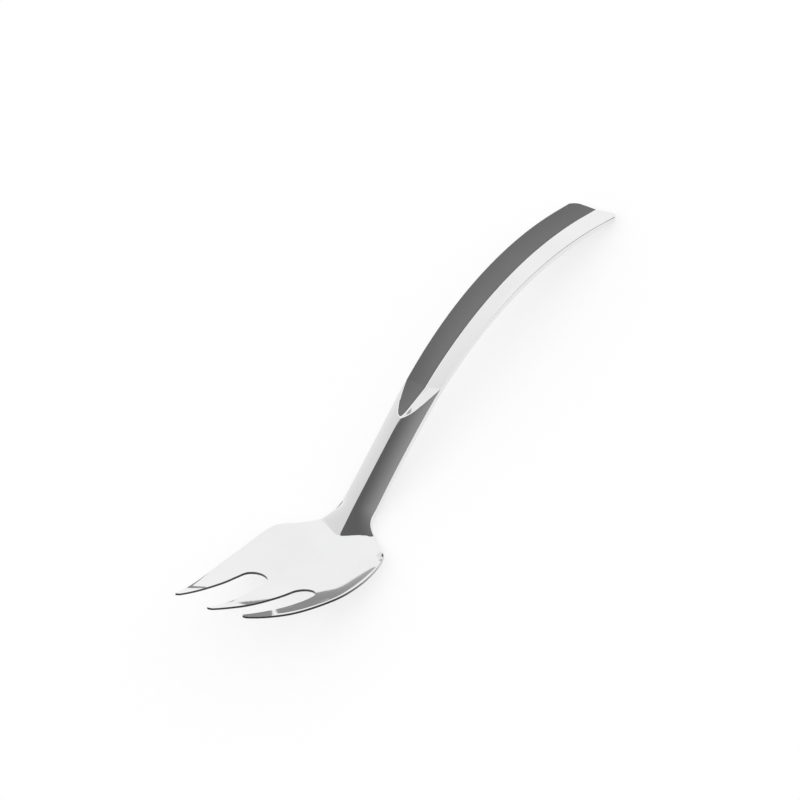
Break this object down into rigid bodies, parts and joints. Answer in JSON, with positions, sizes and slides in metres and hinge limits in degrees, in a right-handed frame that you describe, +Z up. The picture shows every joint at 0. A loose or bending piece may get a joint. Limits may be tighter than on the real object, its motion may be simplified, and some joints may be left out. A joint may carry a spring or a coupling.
{
  "type": "serving fork",
  "caption": "Serving fork pressed from one sheet: a broad dished head with short tapered tines, a crowned neck and an arched handle with a shallow channel.",
  "frame": {"origin": "on the table, under the middle of the fork's length and width, as it lies on its heel and handle end", "axes": "+X along the fork towards the tines, +Y across it, +Z up off the table"},
  "size_m": [0.231, 0.0524, 0.0339],
  "materials": {
    "polished_steel": "mirror-polished stainless steel"
  },
  "bodies": {
    "root": {"fork": "polished_steel"}
  },
  "joints": []
}
